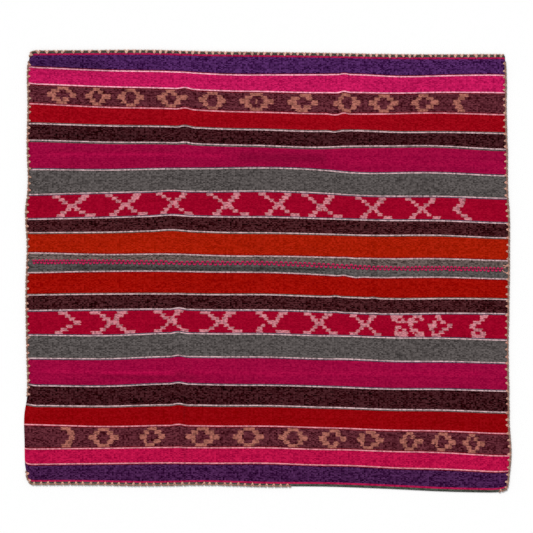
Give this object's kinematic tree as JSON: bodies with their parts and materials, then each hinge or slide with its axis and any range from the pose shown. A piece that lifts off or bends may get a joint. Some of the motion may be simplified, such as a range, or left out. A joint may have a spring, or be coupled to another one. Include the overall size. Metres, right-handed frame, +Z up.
{
  "type": "woven rug",
  "caption": "Flat striped wool rug of woven panels joined along the middle by zigzag stitching, with blanket-stitched edges and rows of small resist-dyed motifs.",
  "frame": {"origin": "on the underside, below the middle of the rug's bounding box", "axes": "+X along the stripes to the right end, +Y across the stripes to the far side, +Z up through the cloth"},
  "size_m": [1.2187, 1.113, 0.005],
  "materials": {
    "striped_cloth": "matte warp-faced wool in stripes of purple, pink, brown, red, magenta, grey, crimson and orange-red",
    "joining_yarn": "matte thick wool yarn, hot pink",
    "edging_yarn": "matte wool yarn, tan"
  },
  "bodies": {
    "root": {"far_panel": "striped_cloth", "near_panel": "striped_cloth", "join_stitching": "joining_yarn", "edging_far": "edging_yarn", "edging_right": "edging_yarn", "edging_near": "edging_yarn", "edging_left": "edging_yarn"}
  },
  "joints": []
}
